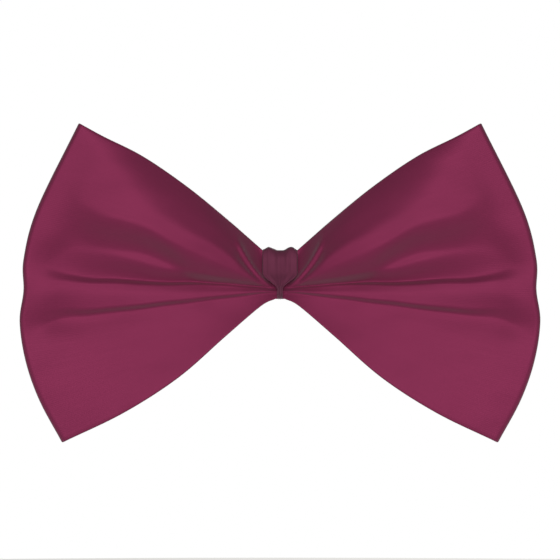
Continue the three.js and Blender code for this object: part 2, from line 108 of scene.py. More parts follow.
def count_setting(name, description, default, least):
    """A number of steps that a user can change."""
    return IntProperty(name=name, description=description, default=default, min=least)


def colour_setting(name, description, default):
    """A colour that a user can change, as linear red, green and blue."""
    return FloatVectorProperty(
        name=name, description=description, default=default, subtype="COLOR", size=3, min=0.0, max=1.0
    )


class BowSizes(PropertyGroup):
    """Sizes of the satin bow."""

    half_width: length_setting(
        "Half width", "From the middle of the tie to the end of a wing", BOW_HIGH.x, 0.03
    )
    satin: length_setting(
        "Satin thickness",
        "Thickness of the strip, which is the satin with its turned-in edges",
        0.00055,
        0.0002,
    )
    puff: length_setting("Puff", "Half the depth of a wing's loop where it is fullest", 0.0057, 0.002)
    fold_depth: share_setting(
        "Fold depth", "How strongly the pleats and the crown of the upper wing stand out", 1.0, 2.0
    )
    rumple: length_setting("Rumple", "Height of the small uneven waves in the satin", 0.00022)
    columns: count_setting("Columns", "Steps along one layer of a wing", 84, 12)
    rows: count_setting("Rows", "Steps across the strip", 132, 24)


class KnotSizes(PropertyGroup):
    """Sizes of the knot band and the sewing."""

    band: length_setting("Band thickness", "Thickness of the folded band", 0.0005, 0.0002)
    hump: length_setting("Hump height", "Height of the two soft humps along the top of the knot", 0.0009)
    gather: length_setting("Gather height", "Height of the creases that run down the band", 0.0001)
    thread: length_setting("Thread thickness", "Thickness of the sewing thread", 0.00046, 0.0001)


class ClipSizes(PropertyGroup):
    """Sizes of the steel clip's finer shape."""

    edge: length_setting("Edge rounding", "Rounding of the stamped edges", 0.00014)
    wire: length_setting("Spring wire", "Thickness of the spring wire", 0.0005, 0.0002)


class TieColours(PropertyGroup):
    """Colours of the tie and its floor."""

    satin: colour_setting("Satin", "Colour of the satin", (0.24, 0.0225, 0.083))
    # The band's colour is the satin darkened and greyed. This is painted shade that stands in for the shade
    # inside the recessed knot.
    shaded_band_satin: colour_setting(
        "Band satin, darkened as painted shade",
        "The satin's colour, darker and greyer as painted shade on the knot band",
        (0.168, 0.032, 0.075),
    )
    stiffener: colour_setting("Stiffener", "Colour of the non-woven stiffener", (0.16, 0.055, 0.085))
    thread: colour_setting("Thread", "Colour of the sewing thread", (0.2, 0.024, 0.07))
    nickel: colour_setting("Nickel", "Colour of the nickel plating", (0.66, 0.645, 0.61))
    floor: colour_setting("Floor", "Colour of the floor", (0.93, 0.925, 0.915))


class StudioSizes(PropertyGroup):
    """Camera, floor and lights."""

    picture_width: length_setting(
        "Picture width", "Width of what the camera takes in at the bow", 0.1435, 0.05
    )
    camera_distance: length_setting(
        "Camera distance", "From the camera to the bow's middle layer", 1.2, 0.3
    )
    floor_drop: length_setting("Floor drop", "From the bow's lowest point to the floor", 0.075)
    key_power: FloatProperty(
        name="Key light", description="Power of the large front light", default=10.8, min=0.0, unit="POWER"
    )
    surround: share_setting("Surround", "Brightness of the pale room around the tie", 0.18)


# ---------------------------------------------------------------- materials


class Flow:
    """A node socket that takes part in plain arithmetic."""

    def __init__(self, nodes, socket):
        self.nodes = nodes
        self.socket = socket

    def _math(self, operation, first, second):
        return self.nodes.node("ShaderNodeMath", {"operation": operation}, {0: first, 1: second})

    def __add__(self, other):
        return self._math("ADD", self, other)

    def __radd__(self, other):
        return self._math("ADD", other, self)

    def __mul__(self, other):
        return self._math("MULTIPLY", self, other)

    def __rmul__(self, other):
        return self._math("MULTIPLY", other, self)


class Nodes:
    """A tree of nodes, which starts empty."""

    def __init__(self, tree):
        self.tree = tree
        self.tree.nodes.clear()

    def node(self, kind, settings=None, sockets=None, out=0):
        """Adds a node: its settings first, then the values or links of its sockets."""
        made = self.tree.nodes.new(kind)
        for key, value in (settings or {}).items():
            if key == "stops":
                self._stops(made.color_ramp, value)
            else:
                setattr(made, key, value)
        for key, value in (sockets or {}).items():
            if isinstance(value, Flow):
                self.tree.links.new(value.socket, made.inputs[key])
            else:
                made.inputs[key].default_value = value
        return Flow(self, made.outputs[out]) if made.outputs else None

    def _stops(self, ramp, stops):
        while len(ramp.elements) < len(stops):
            ramp.elements.new(0.5)
        for element, (place, level) in zip(ramp.elements, stops):
            element.position = place
            element.color = (level, level, level, 1.0)


class Finish(Nodes):
    """One material, built node by node."""

    def __init__(self, name):
        self.material = bpy.data.materials.new(name)
        self.material.use_nodes = True
        super().__init__(self.material.node_tree)

    def blend(self, share, first, second):
        """A colour between two others."""
        return self.node("ShaderNodeMix", {"data_type": "RGBA"}, {0: share, 6: first, 7: second}, out=2)

    def cut(self):
        """The place of each point on the flat cloth or along a wire, in metres."""
        return self.node("ShaderNodeAttribute", {"attribute_name": "cut"}, out=1)

    def place(self):
        """The place of each point on the piece, in metres."""
        return self.node("ShaderNodeTexCoord", out="Object")

    def stretched(self, vector, scale):
        """The same place, measured with its own ruler along each axis."""
        return self.node("ShaderNodeVectorMath", {"operation": "MULTIPLY"}, {0: vector, 1: scale})

    def speckle(self, vector, scale, detail=2.0, roughness=0.5):
        """Soft random patches from 0 to 1."""
        return self.node(
            "ShaderNodeTexNoise",
            None,
            {"Vector": vector, "Scale": scale, "Detail": detail, "Roughness": roughness},
        )

    def bump(self, height, strength, distance, normal=None):
        """A surface raised by height."""
        sockets = {"Height": height, "Strength": strength, "Distance": distance}
        if normal is not None:
            sockets["Normal"] = normal
        return self.node("ShaderNodeBump", None, sockets)

    def shade(self, **sockets):
        """Ends the material in a Principled shader with these sockets."""
        named = {key.replace("_", " "): value for key, value in sockets.items()}
        shader = self.node("ShaderNodeBsdfPrincipled", None, named)
        self.node("ShaderNodeOutputMaterial", None, {"Surface": shader})
        return self.material


def rgba(colour, times=1.0):
    """A colour, darkened or lightened, with no see-through."""
    return (colour[0] * times, colour[1] * times, colour[2] * times, 1.0)


def satin_finish(name, colour, sheen):
    """Satin: close floats along the strip, faint slubs and a soft sheen, laid as the cloth was cut."""
    f = Finish(name)
    cut = f.cut()
    cloudy = f.speckle(f.stretched(cut, (60.0, 60.0, 60.0)), 1.0, 3.0)
    slub = f.speckle(f.stretched(cut, (90.0, 2600.0, 90.0)), 1.0, 2.0)
    floats = f.node(
        "ShaderNodeTexWave",
        {"wave_type": "BANDS", "bands_direction": "Y", "wave_profile": "SIN"},
        {"Vector": cut, "Scale": 620.0, "Distortion": 1.2, "Detail": 1.0, "Detail Scale": 0.4},
        out=1,
    )
    twill = f.node(
        "ShaderNodeTexWave",
        {"wave_type": "BANDS", "bands_direction": "DIAGONAL", "wave_profile": "SAW"},
        {"Vector": cut, "Scale": 900.0, "Distortion": 0.6},
        out=1,
    )
    depth = 0.34 * slub + 0.5 * cloudy + 0.16 * floats
    colours = f.blend(depth, rgba(colour, 0.86), rgba(colour, 1.13))
    height = 0.5 * slub + 0.3 * floats + 0.2 * twill
    return f.shade(
        Base_Color=colours,
        Roughness=0.43 + 0.1 * slub + 0.05 * cloudy,
        Metallic=0.36,
        IOR=1.45,
        Specular_IOR_Level=0.12,
        Sheen_Weight=sheen,
        Sheen_Roughness=0.5,
        Sheen_Tint=(0.4, 0.6, 0.56, 1.0),
        Anisotropic=0.35,
        Normal=f.bump(height, 0.22, 0.00012),
    )


def stiffener_finish(name, colour):
    """Non-woven stiffener: matted short fibres pressed flat."""
    f = Finish(name)
    place = f.place()
    mat = f.speckle(place, 900.0, 4.0, 0.65)
    fibre = f.speckle(f.stretched(place, (2600.0, 2600.0, 420.0)), 1.0, 3.0)
    level = 0.6 * mat + 0.4 * fibre
    return f.shade(
        Base_Color=f.blend(level, rgba(colour, 0.72), rgba(colour, 1.22)),
        Roughness=0.86 + 0.1 * mat,
        Sheen_Weight=0.2,
        Sheen_Roughness=0.7,
        Normal=f.bump(level, 0.5, 0.0002),
    )


def thread_finish(name, colour):
    """Sewing thread: fine filaments, a little shine."""
    f = Finish(name)
    cut = f.cut()
    filament = f.speckle(f.stretched(cut, (900.0, 9000.0, 900.0)), 1.0, 2.0)
    return f.shade(
        Base_Color=f.blend(filament, rgba(colour, 0.7), rgba(colour, 1.3)),
        Roughness=0.5 + 0.2 * filament,
        Sheen_Weight=0.3,
        Sheen_Roughness=0.4,
        Normal=f.bump(filament, 0.35, 0.0001),
    )


def nickel_finish(name, colour, wear=1.0):
    """Nickel-plated stamped steel: rolling marks, fine rubs and patches that have gone dull."""
    f = Finish(name)
    place = f.place()
    rolling = f.speckle(f.stretched(place, (160.0, 160.0, 9000.0)), 1.0, 2.0)
    rubs = f.speckle(f.stretched(place, (5200.0, 300.0, 700.0)), 1.0, 3.0, 0.7)
    haze = f.speckle(place, 240.0, 4.0, 0.6)
    worn = f.node(
        "ShaderNodeValToRGB",
        {"stops": [(0.0, 0.0), (0.52, 0.05), (0.72, 0.8), (1.0, 1.0)]},
        {"Fac": haze},
    )
    edge = f.node("ShaderNodeNewGeometry", out="Pointiness")
    rounded = f.node(
        "ShaderNodeMapRange",
        {"clamp": True},
        {"Value": edge, "From Min": 0.5, "From Max": 0.56, "To Min": 0.0, "To Max": 1.0},
    )
    dull = 0.55 * wear * worn
    colours = f.blend(dull, rgba(colour, 1.0), rgba(colour, 0.72))
    bright = f.blend(0.5 * rounded, colours, (0.78, 0.75, 0.69, 1.0))
    return f.shade(
        Base_Color=bright,
        Metallic=1.0,
        Roughness=0.2 + 0.08 * rolling + 0.07 * rubs + 0.16 * dull,
        Normal=f.bump(0.5 * rolling + 0.5 * rubs, 0.12, 0.00008),
    )


def spring_finish(name):
    """Drawn spring wire: darker, with die lines along it."""
    f = Finish(name)
    cut = f.cut()
    lines = f.speckle(f.stretched(cut, (300.0, 14000.0, 300.0)), 1.0, 2.0)
    haze = f.speckle(f.stretched(cut, (500.0, 500.0, 500.0)), 1.0, 3.0)
    return f.shade(
        Base_Color=f.blend(haze, (0.36, 0.355, 0.35, 1.0), (0.56, 0.55, 0.53, 1.0)),
        Metallic=1.0,
        Roughness=0.26 + 0.16 * lines,
        Normal=f.bump(lines, 0.15, 0.00005),
    )


def floor_finish(name, colour):
    """A plain pale board with the faintest tooth."""
    f = Finish(name)
    place = f.place()
    tooth = f.speckle(place, 300.0, 3.0)
    return f.shade(
        Base_Color=f.blend(tooth, rgba(colour, 0.985), rgba(colour, 1.015)),
        Roughness=0.85,
        Emission_Color=rgba(colour),
        Emission_Strength=0.17,
        Normal=f.bump(tooth, 0.05, 0.0005),
    )


_finishes = {}


def finish(name):
    """The named finish, made once."""
    colours = bpy.context.scene.tie_colours
    makers = {
        "bow satin": lambda: satin_finish("bow satin", colours.satin, 0.62),
        # The band's satin uses the darker colour above, which is painted shade for the recessed knot.
        "band satin": lambda: satin_finish("band satin", colours.shaded_band_satin, 0.45),
        "stiffener": lambda: stiffener_finish("stiffener", colours.stiffener),
        "thread": lambda: thread_finish("thread", colours.thread),
        "nickel plate": lambda: nickel_finish("nickel plate", colours.nickel),
        "nickel pins": lambda: nickel_finish("nickel pins", colours.nickel, 0.6),
        "spring wire": lambda: spring_finish("spring wire"),
        "floor": lambda: floor_finish("floor", colours.floor),
    }
    if name not in _finishes:
        _finishes[name] = makers[name]()
    return _finishes[name]


# ---------------------------------------------------------------- mesh helpers


def ease(low, high, x):
    """0 below low, 1 above high, and a smooth step between."""
    t = np.clip((x - low) / (high - low), 0.0, 1.0)
    return t * t * (3.0 - 2.0 * t)


def mix(a, b, t):
    """A value on the way from a to b."""
    return a + (b - a) * t


def bell(x, middle, spread):
    """1 at the middle, falling smoothly away on both sides."""
    return np.exp(-(((x - middle) / spread) ** 2) / 2.0)


def box_mm(node):
    """A CAD piece's lowest and highest corners, in millimetres."""
    return [np.array(corner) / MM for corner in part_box(node)]


def make_piece(name, points, faces, finish_name, body, cut=None):
    """A mesh piece from points in millimetres. cut is the place of each point on the flat cloth."""
    mesh = bpy.data.meshes.new(name)
    mesh.from_pydata((np.asarray(points) * MM).tolist(), [], faces)
    if cut is not None:
        layer = mesh.attributes.new("cut", "FLOAT_VECTOR", "POINT")
        layer.data.foreach_set("vector", (np.asarray(cut) * MM).astype(np.float32).ravel())
    mesh.update()
    if mesh.validate():
        raise RuntimeError(f"{name} has faces that Blender can't use")
    piece = bpy.data.objects.new(name, mesh)
    bpy.context.collection.objects.link(piece)
    facing_out(piece)
    mesh.polygons.foreach_set("use_smooth", [True] * len(mesh.polygons))
    mesh.materials.append(finish(finish_name))
    if body is not None:
        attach(piece, body)
    return piece


def facing_out(piece):
    """Turns every face of a closed piece outwards."""
    work = bmesh.new()
    work.from_mesh(piece.data)
    bmesh.ops.recalc_face_normals(work, faces=work.faces)
    work.to_mesh(piece.data)
    work.free()


def hem(outer, inner, steps):
    """The rounded edge of a folded strip, from the outer layer's last row to the inner layer's."""
    middle = (outer[:, -1] + inner[:, -1]) / 2.0
    across = (outer[:, -1] - inner[:, -1]) / 2.0
    way = outer[:, -1] - outer[:, -2]
    way /= np.linalg.norm(way, axis=1, keepdims=True) + 1e-12
    half = np.linalg.norm(across, axis=1, keepdims=True)
    rows = []
    for i in range(1, steps + 1):
        a = math.pi * i / (steps + 1)
        rows.append(middle + across * math.cos(a) + way * half * math.sin(a))
    return np.stack(rows, axis=1)


def strip_mesh(outer, inner, cut, hem_steps=3):
    """A closed strip from its outer and inner layers, given as columns of points, with rounded long edges."""
    top = hem(outer, inner, hem_steps)
    low = hem(outer[:, ::-1], inner[:, ::-1], hem_steps)[:, ::-1]
    ring = np.concatenate([outer, top, inner[:, ::-1], low], axis=1)
    edge_cut = np.repeat(cut[:, -1:], hem_steps, axis=1)
    low_cut = np.repeat(cut[:, :1], hem_steps, axis=1)
    ring_cut = np.concatenate([cut, edge_cut, cut[:, ::-1], low_cut], axis=1)
    columns, around = ring.shape[:2]
    index = np.arange(columns * around).reshape(columns, around)
    here, there = index[:-1], index[1:]
    faces = np.stack(
        [here, there, np.roll(there, -1, axis=1), np.roll(here, -1, axis=1)], axis=-1
    ).reshape(-1, 4).tolist()
    rows = outer.shape[1]
    for end in (index[0], index[-1]):
        front = end[:rows]
        back = end[rows + hem_steps : 2 * rows + hem_steps][::-1]
        for k in range(rows - 1):
            faces.append([int(front[k]), int(front[k + 1]), int(back[k + 1]), int(back[k])])
        faces.append([int(i) for i in [front[-1], *end[rows : rows + hem_steps], back[-1]]])
        faces.append([int(i) for i in [back[0], *end[2 * rows + hem_steps :], front[0]]])
    return ring.reshape(-1, 3), faces, ring_cut.reshape(-1, 3)


def tube_mesh(path, radius, sides=12, plies=0, twist_length=1.1, ply_depth=0.16):
    """A round wire or a twisted thread along a path in millimetres, with domed ends."""
    path = np.asarray(path, float)
    steps = np.linalg.norm(np.diff(path, axis=0), axis=1)
    along = np.concatenate([[0.0], np.cumsum(steps)])
    tangents = np.gradient(path, axis=0)
    tangents /= np.linalg.norm(tangents, axis=1, keepdims=True)
    side = np.cross(tangents[0], [0.3, 0.5, 0.81])
    side /= np.linalg.norm(side)
    rings, cuts = [], []
    for i, (p, t) in enumerate(zip(path, tangents)):
        side = side - t * (side @ t)
        side /= np.linalg.norm(side)
        up = np.cross(t, side)
        a = np.linspace(0.0, 2.0 * math.pi, sides, endpoint=False)
        r = np.full(sides, radius)
        if plies:
            twisted = a - 2.0 * math.pi * along[i] / twist_length
            r = radius * (1.0 - ply_depth * (1.0 - np.abs(np.cos(plies * twisted / 2.0))))
        rings.append(p + np.outer(r * np.cos(a), side) + np.outer(r * np.sin(a), up))
        cuts.append(np.stack([np.full(sides, along[i]), a * radius, np.zeros(sides)], axis=1))
    ends = []
    dome = (0.5, 1.05)
    for p, ring, way in ((path[0], rings[0], -tangents[0]), (path[-1], rings[-1], tangents[-1])):
        ends.append([p + (ring - p) * math.cos(a) + way * radius * math.sin(a) for a in dome])
    rings = [ends[0][1], ends[0][0], *rings, ends[1][0], ends[1][1]]
    cuts = [cuts[0], cuts[0], *cuts, cuts[-1], cuts[-1]]
    count = len(rings)
    index = np.arange(count * sides).reshape(count, sides)
    here, there = index[:-1], index[1:]
    faces = np.stack([here, there, np.roll(there, -1, axis=1), np.roll(here, -1, axis=1)], axis=-1)
    faces = faces.reshape(-1, 4).tolist()
    faces += [index[0].tolist(), index[-1].tolist()]
    return np.concatenate(rings), faces, np.concatenate(cuts)


def lathe_mesh(profile, sides=32):
    """A turned piece about its own Z, from a profile of radius and height that closes on the axis."""
    points, faces = [(0.0, 0.0, profile[0][1])], []
    inner = profile[1:-1]
    for radius, height in inner:
        for k in range(sides):
            a = 2.0 * math.pi * k / sides
            points.append((radius * math.cos(a), radius * math.sin(a), height))
    points.append((0.0, 0.0, profile[-1][1]))
    last = len(points) - 1
    for k in range(sides):
        after = (k + 1) % sides
        faces.append([0, 1 + after, 1 + k])
        for j in range(len(inner) - 1):
            a, b = 1 + j * sides, 1 + (j + 1) * sides
            faces.append([a + k, a + after, b + after, b + k])
        c = 1 + (len(inner) - 1) * sides
        faces.append([c + k, c + after, last])
    return np.array(points), faces


def smooth_path(points, count, between=24):
    """A smooth line through a few points, evenly divided."""
    points = np.asarray(points, float)
    padded = np.concatenate([2 * points[:1] - points[1:2], points, 2 * points[-1:] - points[-2:-1]])
    fine = []
    for i in range(len(points) - 1):
        p0, p1, p2, p3 = padded[i : i + 4]
        for t in np.linspace(0.0, 1.0, between, endpoint=i == len(points) - 2):
            bend = (2 * p0 - 5 * p1 + 4 * p2 - p3) * t**2 + (3 * p1 - p0 - 3 * p2 + p3) * t**3
            fine.append(0.5 * (2 * p1 + (p2 - p0) * t + bend))
    fine = np.array(fine)
    along = np.concatenate([[0.0], np.cumsum(np.linalg.norm(np.diff(fine, axis=0), axis=1))])
    wanted = np.linspace(0.0, along[-1], count)
    return np.stack([np.interp(wanted, along, fine[:, k]) for k in range(fine.shape[1])], axis=1)


# ---------------------------------------------------------------- the bow's shape


def pinch_lean(share):
    """How far the pinch leans back at a share of its height: its front layer, and its back layer."""
    return 3.0 * (1.0 - (1.0 - share) ** 1.6) - 0.6, 1.3 * share


class BowShape:
    """Where the satin strip lies.

    r runs from the pinch to a wing's end, and v from the lower edge to the upper.
    """

    # One wing's outline from the front, in millimetres on a bow 133 mm wide: its corners, and the few
    # places between them where an edge swells or turns
    KNOT_TOP = (4.3, 6.0)
    KNOT_FOOT = (1.2, -5.9)
    TOP_CORNER = (51.5, 38.5)
    LOW_CORNER = (55.8, -42.6)
    TOP = [KNOT_TOP, (13.5, 14.0), (24.0, 22.5), (35.0, 30.0), (45.0, 35.0), TOP_CORNER]
    LOW = [KNOT_FOOT, (5.0, -7.8), (14.0, -15.5), (26.0, -26.0), (40.0, -35.0), LOW_CORNER]
    END = [LOW_CORNER, (61.5, -32.0), (65.0, -22.0), (66.5, -12.0), (65.5, -4.0), (65.5, 4.0), (62.0, 17.0)]
    END += [TOP_CORNER]
    FULL_WIDTH = 133.0

    # The loop's length along one wing, how far the pinch's gathers crowd to its foot, the half depth of the
    # end fold's nose, and the plane that the back stays in front of, so that it clears the clip
    WING = 62.0
    PINCH_SKEW = 1.8
    END_HALF = 1.2
    COLLAR_Y = -4.3

    # How softly the back meets that plane, and how far the lapped end stands behind the one under it
    COLLAR_SOFT = 0.35
    LAP_STEP = 0.95

    # How much of the folds' whole rise the wing gives back by leaning, and how far it stands behind the knot
    LEAN_BACK = 0.95
    SET_BACK = 1.2

    # The settling of the cloth: it is worked out ten times full size, where the solver is steady, with a
    # small share of spare cloth. The front keeps its laid folds, so it may move less than the back
    SIM_SCALE = 10.0
    SIM_STEPS = 18
    SIM_COLUMNS = 64
    SIM_ROWS = 40
    SPARE_CLOTH = 0.03
    SMOOTHING = 8
    FRONT_LIMIT = 0.22
    BACK_LIMIT = 1.7

    # The loop's middle layer and half its depth, from the pinch to the end fold
    STATIONS = (0.0, 0.15, 0.35, 0.55, 0.75, 0.9, 1.0)
    MIDDLE_Y = (-9.9, -10.5, -11.1, -11.7, -12.6, -14.2, -16.0)
    HALF_DEPTH = (1.15, 2.9, 4.9, 5.6, 4.8, 3.1, 1.2)

    # Points that a smooth line is worked out at
    FINE = 400

    # The folds of the front, each as a line from the pinch to the end fold: where it lies as a share of the
    # height, how high it stands in millimetres, and how soft it is, at these shares of the length. The
    # crown is the step that the upper wing makes over the pleats, up to its crest, and it rolls back above
    R = (0.0, 0.08, 0.16, 0.25, 0.34, 0.44, 0.55, 0.65, 0.74, 0.84, 0.92, 1.0)
    CREST = (0.46, 0.6, 0.72, 0.77, 0.78, 0.8, 0.82, 0.85, 0.89, 0.92, 0.95, 0.98)
    STEP = (0.42, 0.5, 0.55, 0.58, 0.61, 0.66, 0.69, 0.69, 0.69, 0.7, 0.68, 0.61)
    STEP_HALF = (0.03, 0.065, 0.095, 0.105, 0.095, 0.065, 0.066, 0.07, 0.072, 0.09, 0.15, 0.22)
    STEP_RISE = (0.0, 2.2, 3.6, 4.6, 4.8, 4.8, 5.1, 5.3, 5.1, 3.8, 1.8, 0.3)
    ROLL = (0.0, 2.0, 2.5, 2.4, 2.3, 2.5, 2.5, 2.1, 1.4, 0.7, 0.3, 0.0)
    ROLL_POWER = (1.2, 1.4, 1.8, 2.1, 2.1, 1.8, 1.7, 1.8, 2.0, 2.4, 3.0, 3.0)
    # The lower crease, the middle pleat's ridge, the upper crease and the shelf above it
    LOW_CREASE = (0.29, 0.33, 0.355, 0.375, 0.385, 0.395, 0.395, 0.395, 0.395, 0.4, 0.385, 0.36)
    LOW_DEPTH = (0.2, 0.7, 0.8, 0.95, 1.1, 1.3, 1.5, 1.5, 1.35, 1.0, 0.5, 0.1)
    LOW_HALF = (0.03, 0.026, 0.022, 0.02, 0.018, 0.016, 0.015, 0.0145, 0.015, 0.02, 0.035, 0.07)
    RIDGE = (0.33, 0.365, 0.395, 0.42, 0.44, 0.45, 0.46, 0.465, 0.475, 0.485, 0.485, 0.485)
    RIDGE_RISE = (0.2, 0.3, 0.3, 0.3, 0.3, 0.25, 0.2, 0.2, 0.2, 0.2, 0.2, 0.2)
    RIDGE_SPREAD = (0.03, 0.03, 0.03, 0.03, 0.03, 0.03, 0.03, 0.03, 0.032, 0.036, 0.04, 0.045)
    HIGH_CREASE = (0.4, 0.435, 0.47, 0.49, 0.5, 0.5, 0.505, 0.51, 0.51, 0.52, 0.53, 0.535)
    HIGH_DEPTH = (0.1, 0.4, 0.5, 0.7, 0.9, 1.0, 1.0, 0.9, 0.8, 0.6, 0.35, 0.1)
    HIGH_HALF = (0.03, 0.02, 0.014, 0.012, 0.012, 0.012, 0.012, 0.012, 0.012, 0.016, 0.03, 0.05)
    SHELF_RISE = (0.0, 0.3, 0.9, 1.6, 2.2, 2.8, 3.1, 2.8, 2.1, 1.3, 0.6, 0.2)
    SHELF_WIDTH = (0.075, 0.075, 0.075, 0.075, 0.08, 0.085, 0.1, 0.11, 0.12, 0.13, 0.14, 0.15)
    # The hollow below the lower crease, and the short dart beside the knot
    HOLLOW = (0.0, 0.0, 0.0, 0.0, 0.0, 0.1, 0.25, 0.45, 0.7, 0.9, 0.8, 0.3)
    DART = (0.45, 0.73, 0.93, 1.1, 1.25, 1.4, 1.5, 1.5, 1.5, 1.5, 1.5, 1.5)

    def __init__(self, sizes):
        self.scale = sizes.half_width / MM / (self.FULL_WIDTH / 2.0)
        self.satin = sizes.satin / MM
        deepest = max(self.HALF_DEPTH)
        full = [d if i == 0 else d * sizes.puff / MM / deepest for i, d in enumerate(self.HALF_DEPTH)]
        self.depths = smooth_path(np.stack([self.STATIONS, full], axis=1), self.FINE)
        self.middles = smooth_path(np.stack([self.STATIONS, self.MIDDLE_Y], axis=1), self.FINE)
        self.fold = sizes.fold_depth
        self.settling = None
        self.rumple = sizes.rumple / MM
        self.top, self.low, self.end = (smooth_path(line, 900) for line in (self.TOP, self.LOW, self.END))
        self.height = np.linalg.norm(np.diff(self.end, axis=0), axis=1).sum()

    def on(self, line, t):
        """The point at share t of a line's length."""
        shares = np.linspace(0.0, 1.0, len(line))
        return np.stack([np.interp(t, shares, line[:, k]) for k in range(2)], axis=-1)

    def face(self, r, v):
        """The strip's place in the front view, filled in between its four edges."""
        rr, vv = r[..., None], v[..., None]
        near = mix(mix(self.low[0], self.top[0], vv), mix(self.low[-1], self.top[-1], vv), rr)
        edges = mix(self.on(self.low, r), self.on(self.top, r), vv)
        pinch = mix(self.low[0], self.top[0], vv**self.PINCH_SKEW)
        return (edges + mix(pinch, self.on(self.end, v), rr) - near) * self.scale

    def front_rise(self, r, v):
        """How far the front stands towards the viewer of the plain loop, from its folds."""

        def at(values):
            return self.along(smooth_path(np.stack([self.R, values], axis=1), self.FINE), r)

        crest, rise = at(self.CREST), at(self.STEP_RISE)
        step, half = at(self.STEP), at(self.STEP_HALF)
        low, low_half = at(self.LOW_CREASE), at(self.LOW_HALF)
        high, high_half = at(self.HIGH_CREASE), at(self.HIGH_HALF)
        crown = rise * ease(step - half, step + half, v)
        t = np.clip((v - crest) / (1.0 - crest), 0.0, 1.0)
        crown = crown - at(self.ROLL) * t ** at(self.ROLL_POWER)
        crown = crown + 0.5 * bell(v, crest, 0.04) * ease(0.0, 0.08, r) * (1.0 - ease(0.25, 0.6, r))
        dart = bell(v, at(self.DART), 0.03) - 0.5 * bell(v, at(self.DART) - 0.075, 0.03)
        crown = crown + 0.8 * dart * ease(0.0, 0.05, r) * (1.0 - ease(0.12, 0.165, r))
        crown = crown + at(self.SHELF_RISE) * ease(high, high + at(self.SHELF_WIDTH), v)
        crown = crown - at(self.HOLLOW) * bell(v, low - 0.015, 0.04)
        pleats = (
            at(self.RIDGE_RISE) * bell(v, at(self.RIDGE), at(self.RIDGE_SPREAD))
            + at(self.LOW_DEPTH) * ease(low - low_half, low + low_half, v)
            - at(self.HIGH_DEPTH) * ease(high - high_half, high + high_half, v)
        )
        whole = rise + at(self.SHELF_RISE) + at(self.LOW_DEPTH) - at(self.HIGH_DEPTH)
        return self.fold * (crown + pleats - self.LEAN_BACK * whole * v - self.SET_BACK * ease(0.0, 0.45, r))

    def back_rise(self, r, v):
        """Soft pleats that fan from the pinch over the back."""
        near = ease(0.0, 0.12, r) * (1.0 - ease(0.12, 0.62, r))
        fan = np.cos(2.0 * math.pi * (3.4 * v + 0.15))
        fan = fan + 0.7 * np.cos(2.0 * math.pi * (6.1 * v - 0.2 + 0.4 * r))
        long = ease(0.08, 0.4, r) * (1.0 - ease(0.7, 0.98, r))
        far = ease(0.5, 0.555, v) - ease(0.38, 0.42, v)
        far = far - 0.9 * bell(v, 0.72, 0.035) + 0.7 * bell(v, 0.24, 0.05)
        return self.fold * (0.95 * near * fan + 1.1 * long * far)

    def half_depth(self, r):
        """Half the loop's depth, with a round nose at the end fold."""
        nose = self.END_HALF / self.WING
        t = np.clip((r - 1.0 + nose) / nose, 0.0, 1.0)
        return self.along(self.depths, r) * np.sqrt(1.0 - t * t)

    def along(self, line, r):
        """The height of a line at share r of the length."""
        return np.interp(r, line[:, 0], line[:, 1])

    def loop(self, turn):
        """The loop seen from above: how far along the wing it is, and how far from its middle layer."""
        r = np.sin(turn)
        return r * self.WING, -np.sign(np.cos(turn)) * self.half_depth(r)

    def wing(self, side, turn, v, inset, lapped):
        """Points on one wing. turn runs from 0 at the pinch's front, round the end, to PI at its back."""
        step = 0.004  # a small turn either way, for the direction of the cloth
        a0, b0 = self.loop(np.maximum(turn - step, 0.0))
        a1, b1 = self.loop(np.minimum(turn + step, math.pi))
        length = np.hypot(a1 - a0, b1 - b0)
        a, b = self.loop(turn)
        along = a - (b1 - b0) / length * inset
        depth = b + (a1 - a0) / length * inset
        r = np.clip(along / self.WING, 0.0, 1.0)
        front = np.cos(turn) >= 0.0
        place = self.face(r, v)
        middle = self.along(self.middles, r)
        lean = np.where(front, *pinch_lean(v**self.PINCH_SKEW))
        lean = lean * (1.0 - ease(0.0, 0.16, r))
        lap = np.where(front, 0.0, self.LAP_STEP if lapped else 0.0) * (1.0 - ease(0.0, 0.25, r))
        turned = mix(self.back_rise(r, v), -self.front_rise(np.ones_like(r), v), ease(0.7, 1.0, r))
        rise = np.where(front, -self.front_rise(r, v), turned)
        settled = self.settled(turn, v)
        y = middle + depth + lean + rise + settled[..., 1]
        clear = self.COLLAR_Y - inset
        soft = self.COLLAR_SOFT
        y = np.where(front, y, clear - np.logaddexp(0.0, (clear - y) / soft) * soft)
        x, z = place[..., 0] + settled[..., 0], place[..., 1] + settled[..., 2]
        return np.stack([side * x, y + lap, z], axis=-1)

    def settled(self, turn, v):
        """How far the cloth has moved in settling, between the stations where that was worked out."""
        if self.settling is None:
            return np.zeros((*turn.shape, 3))
        turns, rows, moved = self.settling
        a = np.interp(turn, turns, np.arange(len(turns)))
        b = np.interp(v, rows, np.arange(len(rows)))
        i, j = (np.minimum(c.astype(int), n - 2) for c, n in ((a, len(turns)), (b, len(rows))))
        s, t = (a - i)[..., None], (b - j)[..., None]
        near = mix(moved[i, j], moved[i + 1, j], s)
        return mix(near, mix(moved[i, j + 1], moved[i + 1, j + 1], s), t)

